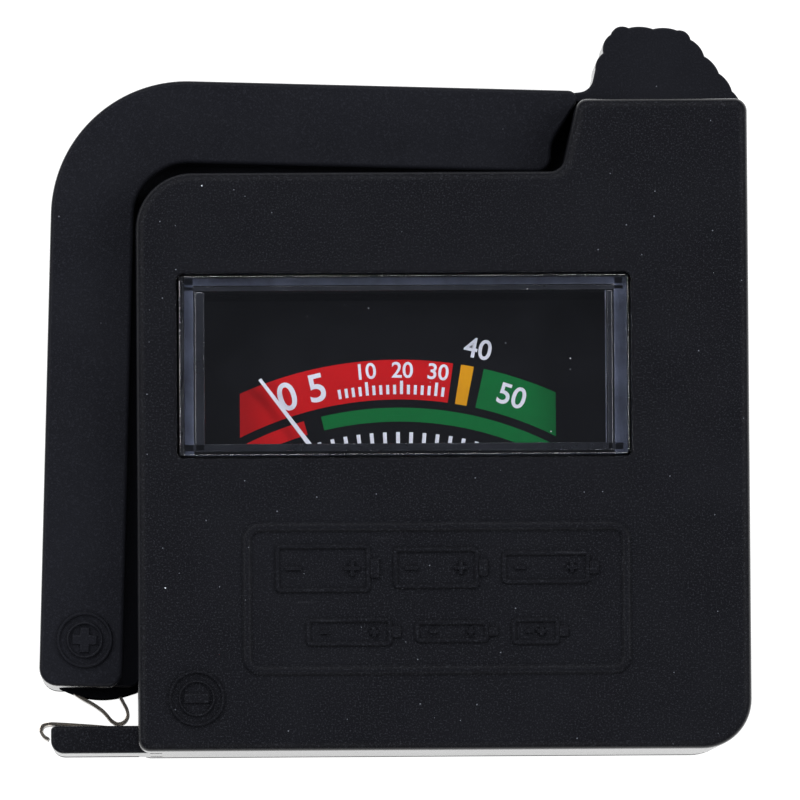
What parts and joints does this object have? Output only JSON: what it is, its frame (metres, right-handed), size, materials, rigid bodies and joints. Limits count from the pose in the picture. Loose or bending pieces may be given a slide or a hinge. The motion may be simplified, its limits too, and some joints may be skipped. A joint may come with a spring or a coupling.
{
  "type": "battery tester",
  "caption": "Pocket analogue battery tester: black case with a moving-coil meter window and a sprung jaw that swings open to grip a cell between two contacts.",
  "frame": {"origin": "middle of the main case body on the flat back face", "axes": "+Z out of the front face, +Y to the thumb tab's end, +X to the right as seen from the front"},
  "size_m": [0.0605, 0.0622, 0.0248],
  "materials": {
    "case": "fine matte texture, black",
    "jaw": "satin black",
    "clear": "clear moulded styrene",
    "moulding": "dark moulding",
    "dial": "printed black plate",
    "needle": "white paint",
    "steel": "zinc plated",
    "nickel": "nickel plated strip",
    "brass": "turned brass",
    "iron": "soft iron",
    "copper": "enamelled copper wire",
    "laminate": "phenolic board",
    "resistor": "lacquered ceramic",
    "red_wire": "insulated wire",
    "black_wire": "insulated wire"
  },
  "bodies": {
    "root": {"front_cover": "case", "back_cover": "case", "arm_pivot_pin": "steel", "minus_contact": "nickel", "contact_9v_minus": "nickel", "contact_9v_plus": "nickel", "return_spring": "steel", "window_lens": "clear", "dial_plate": "dial", "meter_base": "moulding", "pole_ring": "iron", "core_magnet": "iron", "front_bridge": "brass", "jewel_screw_front": "brass", "jewel_screw_rear": "brass", "meter_terminal_minus": "nickel", "meter_terminal_plus": "nickel", "hairspring_front": "brass", "hairspring_rear": "brass", "circuit_board": "laminate", "lead_plus": "red_wire", "lead_minus": "black_wire", "case_screw_1": "steel", "case_screw_2": "steel", "case_screw_3": "steel", "case_screw_4": "steel", "load_resistor_1": "resistor", "load_resistor_2": "resistor", "load_resistor_3": "resistor"},
    "arm": {"arm_front_shell": "jaw", "arm_back_shell": "jaw", "arm_screw_1": "steel", "arm_screw_2": "steel", "arm_lead": "red_wire"},
    "plus_spring": {"plus_contact": "nickel"},
    "movement": {"needle": "needle", "coil_former": "nickel", "coil_winding": "copper", "shaft_front": "steel", "shaft_rear": "steel"}
  },
  "joints": [
    {"name": "arm_swing", "type": "hinge", "parent": "root", "child": "arm", "pos_m": [0.0179, 0.02545, 0.012], "axis": [0, 0, -1], "range_deg": [0, 58], "stiffness_Nm_per_rad": 0.03, "springref_deg": -57.3, "deforming": ["return_spring"]},
    {"name": "plus_contact_press", "type": "slide", "parent": "arm", "child": "plus_spring", "axis": [0.0297, 0.9996, 0], "range_m": [0, 0.0008], "stiffness_N_per_m": 300},
    {"name": "needle_swing", "type": "hinge", "parent": "root", "child": "movement", "pos_m": [-0.0037, -0.00835, 0.012], "axis": [0, 0, -1], "range_deg": [0, 74], "stiffness_Nm_per_rad": 0.00002, "deforming": ["hairspring_front", "hairspring_rear"]}
  ]
}
